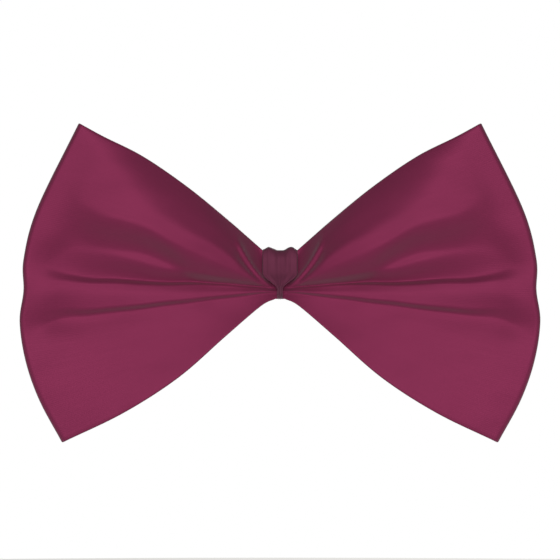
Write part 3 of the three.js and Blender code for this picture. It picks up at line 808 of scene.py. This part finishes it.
    def settle(self):
        """Lets a coarse copy of one wing hang as cloth from its pinch, and keeps how far each part moves."""
        turns, rows = np.linspace(0.0, math.pi, self.SIM_COLUMNS), np.linspace(0.0, 1.0, self.SIM_ROWS)
        grid = np.meshgrid(turns, rows, indexing="ij")
        start = self.wing(1.0, *grid, 0.0, False)
        r, front = np.sin(grid[0]), np.cos(grid[0]) >= 0.0
        hold = np.where(front, 0.82, 0.3) + 0.35 * ease(0.8, 1.0, r)
        hold = np.clip(mix(1.0, hold, ease(0.03, 0.22, r)), 0.0, 1.0)
        index = np.arange(start.shape[0] * start.shape[1]).reshape(start.shape[:2])
        faces = np.stack([index[:-1, :-1], index[1:, :-1], index[1:, 1:], index[:-1, 1:]], axis=-1)
        mesh = bpy.data.meshes.new("settling cloth")
        points = start.reshape(-1, 3) * MM * self.SIM_SCALE
        mesh.from_pydata(points.tolist(), [], faces.reshape(-1, 4).tolist())
        cloth = bpy.data.objects.new("settling cloth", mesh)
        bpy.context.collection.objects.link(cloth)
        held = cloth.vertex_groups.new(name="held")
        for i, weight in zip(index.ravel().tolist(), hold.ravel().tolist()):
            held.add([i], weight, "REPLACE")
        settings = cloth.modifiers.new("cloth", "CLOTH").settings
        settings.quality = 6
        settings.mass = 0.15
        settings.tension_stiffness = settings.compression_stiffness = 25.0
        settings.shear_stiffness = 12.0
        settings.bending_stiffness = 2.0
        settings.air_damping = 3.0
        settings.vertex_group_mass = "held"
        settings.pin_stiffness = 1.2
        settings.shrink_min = -self.SPARE_CLOTH
        scene = bpy.context.scene
        for step in range(1, self.SIM_STEPS + 1):
            scene.frame_set(step)
        after = cloth.evaluated_get(bpy.context.evaluated_depsgraph_get()).data
        end = np.empty(len(after.vertices) * 3, np.float32)
        after.vertices.foreach_get("co", end)
        moved = end.reshape(start.shape) / MM / self.SIM_SCALE - start
        scene.frame_set(1)
        bpy.data.objects.remove(cloth)
        bpy.data.meshes.remove(mesh)
        for _ in range(self.SMOOTHING):
            moved = self.smoothed(moved)
        limit = np.where(front, self.FRONT_LIMIT, self.BACK_LIMIT)
        limit = limit * ease(0.03, 0.3, r) * (1.0 - 0.7 * ease(0.85, 1.0, r))
        size = np.linalg.norm(moved, axis=-1)
        moved *= (limit * np.tanh(size / (limit + 1e-6)) / (size + 1e-6))[..., None]
        edge = ease(0.0, 0.12, grid[1]) * (1.0 - ease(0.88, 1.0, grid[1])) * (1.0 - ease(0.9, 1.0, r))
        moved[..., 0] *= edge
        moved[..., 2] *= edge
        self.settling = turns, rows, moved

    def smoothed(self, field):
        """A field evened out with its neighbours."""
        wide = np.pad(field, ((1, 1), (1, 1), (0, 0)), mode="edge")
        around = wide[:-2, 1:-1] + wide[2:, 1:-1] + wide[1:-1, :-2] + wide[1:-1, 2:]
        return 0.5 * field + 0.125 * around


def ruffle(points, height):
    """Small uneven waves, as a height for each point. They run longer along the strip than across it."""
    out = np.empty(len(points))
    shift = Vector((3.1, 1.7, 2.3))
    for i, p in enumerate(points):
        at = Vector((p[0] * 0.045, p[1] * 0.02, p[2] * 0.085)) + shift
        out[i] = noise.noise(at) + 0.5 * noise.noise(at * 2.3)
    return out * height


def row_places(count):
    """Rows across the strip, closer together where the creases are."""
    fine = np.linspace(0.0, 1.0, 2001)
    wanted = 1.0 + 2.2 * bell(fine, 0.38, 0.035) + 1.2 * bell(fine, 0.45, 0.03)
    wanted += 2.0 * bell(fine, 0.52, 0.035) + bell(fine, 0.65, 0.05) + 0.9 * ease(0.85, 1.0, fine)
    total = np.concatenate([[0.0], np.cumsum((wanted[1:] + wanted[:-1]) / 2.0)])
    return np.interp(np.linspace(0.0, total[-1], count), total, fine)


def strip_columns(columns):
    """The turns of one wing's columns, from the pinch's front to its back, closest together at the pinch."""
    front = math.pi / 2.0 * np.linspace(0.0, 1.0, columns + 1) ** 1.35
    back = math.pi - math.pi / 2.0 * np.linspace(0.0, 1.0, columns * 2 // 3 + 1) ** 1.2
    return np.concatenate([front, back[::-1][1:]])


_shapes = []


def bow_shape(sizes):
    """The bow's shape, settled once."""
    if not _shapes:
        shape = BowShape(sizes)
        shape.settle()
        _shapes.append(shape)
    return _shapes[0]


class TIE_OT_bow(Operator):
    """Make the bow: one strip of satin folded into a loop and gathered at its middle"""

    bl_idname = "tie.bow"
    bl_label = "Satin bow"

    # Where the strip's two ends are lapped behind the pinch, and half the width that it crosses in front
    LAP = (3.3, 1.1, -0.9)
    PINCH = 0.9

    # The share of the strip's full length and width that is left when it is cut narrower at the pinch
    WAISTED = 0.78

    def execute(self, context):
        sizes = context.scene.bow_sizes
        shape = bow_shape(sizes)
        v = row_places(sizes.rows)
        turns = strip_columns(sizes.columns)
        layers = []
        for inset in (0.0, shape.satin):
            left = shape.wing(-1.0, *np.meshgrid(turns[::-1], v, indexing="ij"), inset, False)
            right = shape.wing(1.0, *np.meshgrid(turns, v, indexing="ij"), inset, True)
            layers.append(self.across(left, right))
        cut = self.places(layers[0], v, shape)
        waves = ruffle(layers[0].reshape(-1, 3), shape.rumple).reshape(layers[0].shape[:2])
        out = np.abs(layers[0][..., 0])
        calm = ease(2.0, 14.0, out) * (1.0 - ease(60.0, 65.0, out))
        for layer in layers:
            layer[..., 1] += waves * calm
        points, faces, flat = strip_mesh(layers[0], layers[1], cut)
        piece = make_piece("bow_cloth", points, faces, "bow satin", "tie", flat)
        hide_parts("bow_satin")
        length = (cut[-1, 0, 0] - cut[0, 0, 0]) * MM
        width = shape.height * MM
        area = self.WAISTED * width * length
        return {"FINISHED"}

    def across(self, left, right):
        """Joins the wings over the middle, in front and, with the strip's two ends lapped, behind."""
        start = [self.level(left[0], x) for x in self.LAP]
        half = self.PINCH
        pinch = [self.level(left[-1], -half), self.level(left[-1], 0.0), self.level(right[0], half)]
        end = [self.level(right[-1], -x) for x in self.LAP[::-1]]
        return np.concatenate([start, left, pinch, right, end])

    def level(self, column, x):
        """The same column of points, moved to x."""
        moved = column.copy()
        moved[:, 0] = x
        return moved

    def places(self, layer, v, shape):
        """Each point's place on the flat strip: along it, and across it."""
        lower = layer[:, layer.shape[1] // 3]
        steps = np.linalg.norm(np.diff(lower, axis=0), axis=1)
        along = np.concatenate([[0.0], np.cumsum(steps)])
        cut = np.zeros(layer.shape)
        cut[..., 0] = along[:, None]
        cut[..., 1] = v[None, :] * shape.height
        return cut


class TIE_OT_stiffeners(Operator):
    """Make the two non-woven stiffeners that lie inside the wings"""

    bl_idname = "tie.stiffeners"
    bl_label = "Stiffeners"

    # Clear of the satin by this much, and this thick
    GAP = 0.25
    FELT = 0.35

    # How far each stops short of the pinch, as a turn, and of the long edges, as a share of the height
    SHORT = 0.22
    MARGIN = 0.045

    # The steps each way, and the row that the length is measured on
    STEPS = 72
    NEAR_MIDDLE = 30

    def execute(self, context):
        sizes = context.scene.bow_sizes
        shape = bow_shape(sizes)
        v = np.linspace(self.MARGIN, 1.0 - self.MARGIN, self.STEPS)
        turns = np.linspace(self.SHORT, math.pi - self.SHORT, self.STEPS)
        for name, side in (("left", -1.0), ("right", 1.0)):
            run = turns[::-1] if side < 0 else turns
            grids = np.meshgrid(run, v, indexing="ij")
            outer = shape.wing(side, *grids, shape.satin + self.GAP, side > 0)
            inner = shape.wing(side, *grids, shape.satin + self.GAP + self.FELT, side > 0)
            cut = np.zeros(outer.shape)
            steps = np.linalg.norm(np.diff(outer[:, self.NEAR_MIDDLE], axis=0), axis=1)
            cut[..., 0] = np.concatenate([[0.0], np.cumsum(steps)])[:, None]
            cut[..., 1] = v[None, :] * shape.height
            points, faces, flat = strip_mesh(outer, inner, cut, 1)
            piece = make_piece(f"stiffener_{name}", points, faces, "stiffener", "tie", flat)
            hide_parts(f"interlining_{name}")
            flat = ((1.0 - 2.0 * self.MARGIN) * shape.height * MM, cut[-1, 0, 0] * MM)
        return {"FINISHED"}


# ---------------------------------------------------------------- the knot and the sewing


class TIE_OT_knot(Operator):
    """Make the knot band: a gathered strip wound round the pinch, with its tail lapped down the back"""

    bl_idname = "tie.knot"
    bl_label = "Knot band"

    # The band's way round the pinch from the side, as Y and Z: down the back, under, up the front, over the
    # top and down the back again, outside its own start
    ROUTE = [(-5.95, 4.4), (-5.95, 0.0), (-6.0, -4.2), (-6.9, -5.7), (-9.4, -5.95), (-11.7, -5.8)]
    ROUTE += [(-12.45, -4.8), (-12.3, -3.4), (-11.7, -1.6), (-10.95, 0.2), (-10.2, 2.6), (-9.5, 4.9)]
    ROUTE += [(-8.7, 5.95), (-7.2, 6.15), (-5.7, 6.0), (-5.15, 5.0), (-5.15, 2.0), (-5.2, -4.0)]

    # The band's foot and its height, and half its width at the foot, over the top and down the tail
    FOOT = -5.9
    HEIGHT = 11.6
    FOOT_HALF = 0.5
    TOP_HALF = 4.25
    TAIL_HALF = 4.55

    # The humps along the top: how far each is from the middle, how wide, and the height they sit at
    HUMP_X = 2.95
    HUMP_SPREAD = 0.85
    HUMP_Z = 6.6

    # The strip's full width in metres, and the share of it that is left after its taper
    FLAT_WIDTH = 0.01
    TAPERED = 0.75

    def execute(self, context):
        sizes = context.scene.knot_sizes
        route = smooth_path(self.ROUTE, 150)
        tangent = np.gradient(route, axis=0)
        tangent /= np.linalg.norm(tangent, axis=1, keepdims=True)
        out = np.stack([tangent[:, 1], -tangent[:, 0]], axis=1)
        share = np.linspace(0.0, 1.0, len(route))
        q = np.linspace(-1.0, 1.0, 61)
        band = sizes.band / MM
        half = self.half_width(route, share)
        x = half[:, None] * q[None, :]
        tail = ease(0.72, 0.8, share)
        crease = self.creases(q, share) * (sizes.gather / MM) * (1.0 - 0.75 * tail)[:, None]
        humps = (sizes.hump / MM) * bell(np.abs(x), self.HUMP_X, self.HUMP_SPREAD)
        humps *= bell(route[:, 1], self.HUMP_Z, 1.0)[:, None] * (1.0 - tail)[:, None]
        layers = []
        for way in (1.0, -1.0):
            lift = crease + way * band / 2.0
            y = route[:, 0][:, None] + out[:, 0][:, None] * lift
            z = route[:, 1][:, None] + out[:, 1][:, None] * lift + humps
            layers.append(np.stack([x, y, z], axis=-1))
        along = np.concatenate([[0.0], np.cumsum(np.linalg.norm(np.diff(route, axis=0), axis=1))])
        cut = np.zeros(layers[0].shape)
        cut[..., 0] = along[:, None]
        cut[..., 1] = (q * 4.6)[None, :]
        points, faces, flat = strip_mesh(layers[0], layers[1], cut)
        piece = make_piece("knot_cloth", points, faces, "band satin", "tie", flat)
        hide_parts("knot_band")
        flat = (self.FLAT_WIDTH, along[-1] * MM)
        return {"FINISHED"}

    def half_width(self, route, share):
        """Narrow where the band is pulled tight under the pinch, wide over the top and down the tail."""
        level = np.clip((route[:, 1] - self.FOOT) / self.HEIGHT, 0.0, 1.0)
        taper = mix(self.FOOT_HALF, self.TOP_HALF, ease(0.19, 0.54, level))
        return mix(taper, self.TAIL_HALF, ease(0.78, 0.88, share))

    def creases(self, q, share):
        """Broad and fine gathers that run along the band, and wander a little."""
        deep = np.cos(2.0 * math.pi * (1.1 * q[None, :] + 0.15 * np.sin(5.0 * share)[:, None]))
        fine = 0.3 * np.cos(2.0 * math.pi * (2.6 * q[None, :] - 0.2 + 0.8 * share[:, None]))
        return deep + fine


class TIE_OT_threads(Operator):
    """Make the gathering thread, the band's seam and the stitches that hold the clip"""

    bl_idname = "tie.threads"
    bl_label = "Threads"

    # From the side of a thread's CAD box to the middle of the thread
    INSET = 0.25

    def execute(self, context):
        radius = context.scene.knot_sizes.thread / MM / 2.0
        self.thread("gathering_winding", self.winding(), radius, "gathering_thread")
        self.thread("band_seam", self.seam(), radius, "band_seam_thread")
        for name in ("left", "right"):
            self.thread(f"clip_stitch_{name}", self.staple(name), radius, f"plate_stitch_{name}")
        return {"FINISHED"}

    def thread(self, name, path, radius, node):
        """A twisted thread of three plies that stands for a CAD node."""
        points, faces, cut = tube_mesh(path, radius, plies=3)
        piece = make_piece(name, points, faces, "thread", "tie", cut)
        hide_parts(node)

    def winding(self):
        """Two turns round the pinch, squared off so that they lie flat on its front and back."""
        low, high = box_mm("gathering_thread")
        middle, half = (low + high) / 2.0, (high - low) / 2.0 - self.INSET
        t = np.linspace(0.0, 1.0, 260)
        a = t * 4.0 * math.pi
        across, up = (np.sign(c) * np.abs(c) ** 0.2 for c in (np.cos(a), np.sin(a)))
        x = middle[0] + (t - 0.5) * 1.6
        turns = np.stack([x, middle[1] + half[1] * across, middle[2] + half[2] * up], axis=1)
        front = ease(0.0, -half[1], turns[:, 1] - middle[1])
        front_lean, back_lean = pinch_lean(np.clip((turns[:, 2] + 5.9) / 11.9, 0.0, 1.0))
        turns[:, 1] += front * front_lean + (1.0 - front) * back_lean
        return smooth_path(turns[::4], 300)

    def seam(self):
        """Slip stitches that zigzag across the end of the band."""
        low, high = box_mm("band_seam_thread")
        levels = (low[2] + self.INSET, high[2] - self.INSET)
        count = 9
        path = []
        for i in range(count):
            x = mix(low[0] + 0.3, high[0] - 0.3, i / (count - 1))
            path.append((x, (low[1] + high[1]) / 2.0, levels[i % 2]))
        return smooth_path(path, 120)

    def staple(self, name):
        """One stitch over the plate: out through the satin, down the back of the plate and in again."""
        low, high = box_mm(f"plate_stitch_{name}")
        x, z = (low[0] + high[0]) / 2.0, (high[2] - low[2]) / 2.0 - self.INSET
        rear, front = high[1] - self.INSET, low[1] + 0.1
        upper = [(x, front, z), (x, rear - 0.9, z), (x, rear - 0.12, z - 0.15), (x, rear, z - 0.8)]
        lower = [(x, y, -level) for x, y, level in upper[::-1]]
        return smooth_path([*upper, (x, rear + 0.02, 0.0), *lower], 110)


# ---------------------------------------------------------------- the clip


# Faces closer than the first angle are one flat face, and edges sharper than the second are cut edges
FLAT_ANGLE = math.radians(1.5)
SHARP_ANGLE = math.radians(32.0)


def stamped(node, name, body, edge):
    """A stamped steel piece: the CAD piece's own shape with its edges eased as a press leaves them."""
    source = frame["nodes"][node]
    mesh = bpy.data.meshes.new(name)
    work = bmesh.new()
    work.from_mesh(source.data)
    bmesh.ops.remove_doubles(work, verts=work.verts, dist=2e-6)
    bmesh.ops.dissolve_limit(work, angle_limit=FLAT_ANGLE, verts=work.verts, edges=work.edges)
    sharp = [e for e in work.edges if len(e.link_faces) == 2 and e.calc_face_angle(0.0) > SHARP_ANGLE]
    bmesh.ops.bevel(
        work, geom=sharp, offset=edge, segments=2, profile=0.6, affect="EDGES", clamp_overlap=True
    )
    bmesh.ops.triangulate(work, faces=[f for f in work.faces if len(f.verts) > 4])
    bmesh.ops.recalc_face_normals(work, faces=work.faces)
    work.to_mesh(mesh)
    work.free()
    piece = bpy.data.objects.new(name, mesh)
    bpy.context.collection.objects.link(piece)
    mesh.polygons.foreach_set("use_smooth", [True] * len(mesh.polygons))
    mesh.set_sharp_from_angle(angle=math.radians(38.0))
    mesh.materials.append(finish("nickel plate"))
    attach(piece, body)
    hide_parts(node)


class TIE_OT_plate(Operator):
    """Make the clip's plate and the saddle riveted over its middle"""

    bl_idname = "tie.plate"
    bl_label = "Clip plate and saddle"

    def execute(self, context):
        edge = context.scene.clip_sizes.edge
        stamped("clip_plate", "plate", "tie", edge)
        stamped("clip_saddle", "saddle", "tie", edge)
        return {"FINISHED"}


class TIE_OT_jaws(Operator):
    """Make the two sprung jaws"""

    bl_idname = "tie.jaws"
    bl_label = "Jaws"

    def execute(self, context):
        edge = context.scene.clip_sizes.edge
        for name in ("left", "right"):
            stamped(f"jaw_{name}", f"{name}_jaw_lever", f"{name}_jaw", edge)
        return {"FINISHED"}


class TIE_OT_pins(Operator):
    """Make the hinge pins and the saddle's rivets, turned with domed heads"""

    bl_idname = "tie.pins"
    bl_label = "Pins and rivets"

    # The axis that a piece is turned about
    BACKWARD, UPRIGHT = 1, 2

    # Half the shank's width, the head's height, its lower edge, and its dome as share of width and drop
    SHANK = 0.6
    HEAD = 0.5
    CHAMFER = 0.08
    DOME = [(0.0, 0.0), (0.45, 0.01), (0.8, 0.07), (0.97, 0.2), (1.0, 0.32)]

    def execute(self, context):
        for name in ("left", "right"):
            self.turned(f"hinge_pin_{name}", f"pin_{name}", self.UPRIGHT)
        for name in ("top", "bottom"):
            self.turned(f"saddle_rivet_{name}", f"rivet_{name}", self.BACKWARD)
        return {"FINISHED"}

    def turned(self, node, name, lengthwise):
        """A pin or rivet in its CAD piece's box: a shank with a domed head at each end."""
        low, high = box_mm(node)
        middle, size = (low + high) / 2.0, high - low
        reach = size[lengthwise] / 2.0
        wide = size[(lengthwise + 1) % 3] / 2.0
        top = [(wide * share, reach - drop) for share, drop in self.DOME]
        top += [(wide, reach - self.HEAD + self.CHAMFER), (wide - self.CHAMFER, reach - self.HEAD)]
        profile = top + [(self.SHANK, reach - self.HEAD), (self.SHANK, 0.0)]
        profile = profile + [(r, -z) for r, z in profile[-2::-1]]
        points, faces = lathe_mesh(profile)
        if lengthwise == self.BACKWARD:
            points = points[:, [0, 2, 1]] * [1.0, 1.0, -1.0]
        piece = make_piece(name, points + middle, faces, "nickel pins", "tie")
        piece.data.set_sharp_from_angle(angle=math.radians(40.0))
        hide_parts(node)


class TIE_OT_springs(Operator):
    """Make the two torsion springs, which wind up as their jaws open on the real clip; here they are fixed
    coils that don't follow the jaws
    """

    bl_idname = "tie.springs"
    bl_label = "Springs"

    # The coil's radius at the middle of the wire, its turns, its rise in each and the steps in each
    COIL = 1.25
    TURNS = 4
    PITCH = 1.0
    STEPS = 28

    # The last part of a turn, which aims the leg at the thumb tab
    AIM = math.pi / 4.0

    def execute(self, context):
        radius = context.scene.clip_sizes.wire / MM / 2.0
        joints = {j["child"]: j for j in frame["joints"]}
        for name, side in (("left", -1.0), ("right", 1.0)):
            pin = np.array(joints[f"{name}_jaw"]["pos_m"]) / MM
            points, faces, cut = tube_mesh(self.path(pin, side), radius)
            piece = make_piece(f"coil_{name}", points, faces, "spring wire", None, cut)
            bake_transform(piece)
            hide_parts(f"spring_{name}")
        return {"FINISHED"}

    def path(self, pin, side):
        """One leg along the plate, the coil, and one leg up under the thumb tab."""
        low = -self.TURNS * self.PITCH / 2.0
        start = [(5.6, -self.COIL - 0.05, low), (3.2, -self.COIL, low), (1.0, -self.COIL, low)]
        steps = self.TURNS * self.STEPS
        total = self.TURNS * 2.0 * math.pi + self.AIM
        coil = []
        for i in range(steps + 1):
            a = -math.pi / 2.0 - i / steps * total
            coil.append((self.COIL * math.cos(a), self.COIL * math.sin(a), mix(low, -low, i / steps)))
        x, y, z = coil[-1]
        thumb_leg = [(x - 0.8, y + 0.8, z), (x - 2.0, y + 2.15, z), (x - 3.1, y + 3.4, z)]
        path = smooth_path(start + coil + thumb_leg, 320)
        return path * [side, 1.0, 1.0] + pin


# ---------------------------------------------------------------- the studio


class TIE_OT_studio(Operator):
    """Set up the pale floor, the soft lights and the camera"""

    bl_idname = "tie.studio"
    bl_label = "Studio"

    # The bow's middle layer, which the lights face, and the height of the camera
    MIDDLE = Vector((0.0, -0.0126, 0.0))
    EYE = -0.00133
    FLOOR_RADIUS = 0.75

    # Where each light stands from the middle, its width, and its share of the key light's power
    LIGHTS = {
        "key light": (Vector((0.0, -1.5, 0.3)), 1.0, 1.0),
        "rear light": (Vector((0.3, 1.5, 0.45)), 0.8, 0.75),
    }
    WARM_WHITE = (1.0, 0.985, 0.965)
    PALE = (1.0, 0.99, 0.985, 1.0)
    WHITE = (1.0, 1.0, 1.0, 1.0)

    def execute(self, context):
        sizes = context.scene.studio_sizes
        self.floor(sizes)
        self.room(context.scene, sizes)
        for name, (away, size, share) in self.LIGHTS.items():
            self.light(name, self.MIDDLE + away, size, sizes.key_power * share)
        self.camera(context.scene, sizes)
        return {"FINISHED"}

    def floor(self, sizes):
        """A round board under the tie."""
        mesh = bpy.data.meshes.new("floor")
        work = bmesh.new()
        bmesh.ops.create_circle(work, cap_ends=True, segments=128, radius=self.FLOOR_RADIUS)
        bmesh.ops.translate(work, verts=work.verts, vec=(0.0, 0.0, CAD_BOX[0].z - sizes.floor_drop))
        work.to_mesh(mesh)
        work.free()
        board = bpy.data.objects.new("floor", mesh)
        bpy.context.collection.objects.link(board)
        mesh.materials.append(finish("floor"))

    def room(self, scene, sizes):
        """A pale room: even light all round, and plain white behind the tie."""
        world = bpy.data.worlds.new("pale room")
        world.use_nodes = True
        nodes = Nodes(world.node_tree)
        seen = nodes.node("ShaderNodeLightPath", out="Is Camera Ray")
        around = nodes.node("ShaderNodeBackground", None, {"Color": self.PALE, "Strength": sizes.surround})
        behind = nodes.node("ShaderNodeBackground", None, {"Color": self.WHITE})
        both = nodes.node("ShaderNodeMixShader", None, {0: seen, 1: around, 2: behind})
        nodes.node("ShaderNodeOutputWorld", None, {"Surface": both})
        scene.world = world
        scene.view_settings.view_transform = "Standard"

    def light(self, name, place, size, power):
        """A soft round light that faces the bow."""
        lamp = bpy.data.lights.new(name, "AREA")
        lamp.shape = "DISK"
        lamp.size = size
        lamp.energy = power
        lamp.color = self.WARM_WHITE
        holder = bpy.data.objects.new(name, lamp)
        holder.location = place
        holder.rotation_mode = "QUATERNION"
        holder.rotation_quaternion = (self.MIDDLE - place).to_track_quat("-Z", "Y")
        bpy.context.collection.objects.link(holder)

    def camera(self, scene, sizes):
        """Straight at the front, at the height that puts the bow a little below the picture's middle."""
        view = bpy.data.cameras.new("camera")
        view.lens = view.sensor_width * sizes.camera_distance / sizes.picture_width
        view.clip_end = 20.0
        holder = bpy.data.objects.new("camera", view)
        holder.location = (0.0, self.MIDDLE.y - sizes.camera_distance, self.EYE)
        holder.rotation_mode = "QUATERNION"
        holder.rotation_quaternion = Vector((0.0, 1.0, 0.0)).to_track_quat("-Z", "Y")
        bpy.context.collection.objects.link(holder)
        scene.camera = holder


class TIE_PT_sidebar(Panel):
    """Buttons for the tie's pieces"""

    bl_idname = "TIE_PT_sidebar"
    bl_label = "Bow Tie"
    bl_space_type = "VIEW_3D"
    bl_region_type = "UI"
    bl_category = "Bow Tie"

    def draw(self, context):
        for group in GROUPS:
            box = self.layout.box()
            settings = getattr(context.scene, group)
            for key in settings.bl_rna.properties.keys():
                if key not in ("rna_type", "name"):
                    box.prop(settings, key)
        for operator in OPERATORS:
            self.layout.operator(operator.bl_idname)


GROUPS = {
    "bow_sizes": BowSizes,
    "knot_sizes": KnotSizes,
    "clip_sizes": ClipSizes,
    "tie_colours": TieColours,
    "studio_sizes": StudioSizes,
}
OPERATORS = (
    TIE_OT_studio,
    TIE_OT_bow,
    TIE_OT_stiffeners,
    TIE_OT_threads,
    TIE_OT_knot,
    TIE_OT_plate,
    TIE_OT_jaws,
    TIE_OT_pins,
    TIE_OT_springs,
)


def register():
    for group in (*GROUPS.values(), *OPERATORS, TIE_PT_sidebar):
        bpy.utils.register_class(group)
    for name, group in GROUPS.items():
        setattr(bpy.types.Scene, name, PointerProperty(type=group))


def unregister():
    for name in GROUPS:
        delattr(bpy.types.Scene, name)
    for group in reversed((*GROUPS.values(), *OPERATORS, TIE_PT_sidebar)):
        bpy.utils.unregister_class(group)


def main():
    register()
    for operator in OPERATORS:
        family, name = operator.bl_idname.split(".")
        getattr(getattr(bpy.ops, family), name)()


if __name__ == "__main__":
    main()
